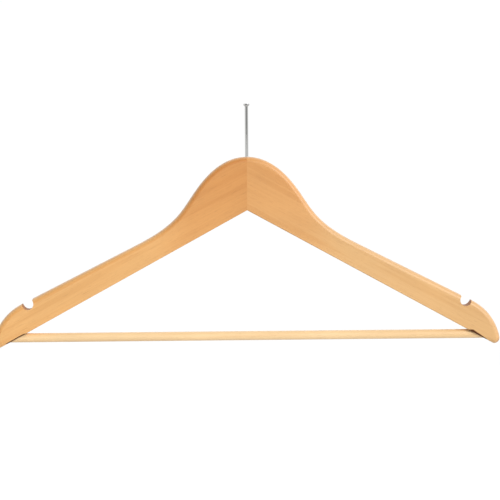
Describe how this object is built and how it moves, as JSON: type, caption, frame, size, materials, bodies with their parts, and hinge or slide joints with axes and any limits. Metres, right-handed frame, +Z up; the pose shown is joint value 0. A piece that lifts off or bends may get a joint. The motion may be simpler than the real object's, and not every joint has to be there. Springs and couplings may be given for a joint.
{
  "type": "wooden suit hanger with security pin",
  "caption": "Flat wooden suit hanger with a bell-shaped hump, strap notches, a round trouser bar and a swivelling nail-type security pin in place of a hook.",
  "frame": {"origin": "on the pin's axis, on the underside of the pin's head, where a security ring holds the hanger", "axes": "+Z up along the pin; +X along the hanger's width, from left arm to right arm; the front face looks along -Y"},
  "size_m": [0.4444, 0.012, 0.2114],
  "materials": {
    "left_arm": "clear satin lacquer",
    "right_arm": "clear satin lacquer",
    "centre_dowels": "bare, glued",
    "swivel_pin": "bright plated",
    "retaining_washer": "zinc plated",
    "trouser_bar": "clear satin lacquer"
  },
  "bodies": {
    "pin": {"swivel_pin": "swivel_pin", "retaining_washer": "retaining_washer"},
    "hanger": {"left_arm": "left_arm", "right_arm": "right_arm", "centre_dowels": "centre_dowels"},
    "bar": {"trouser_bar": "trouser_bar"}
  },
  "joints": [
    {"name": "hanger_swivel", "type": "hinge", "parent": "pin", "child": "hanger", "pos_m": [0, 0, -0.0444], "axis": [0, 0, 1], "continuous": true},
    {"name": "bar_spin", "type": "hinge", "parent": "hanger", "child": "bar", "pos_m": [0, 0, -0.2013], "axis": [1, 0, 0], "continuous": true}
  ]
}
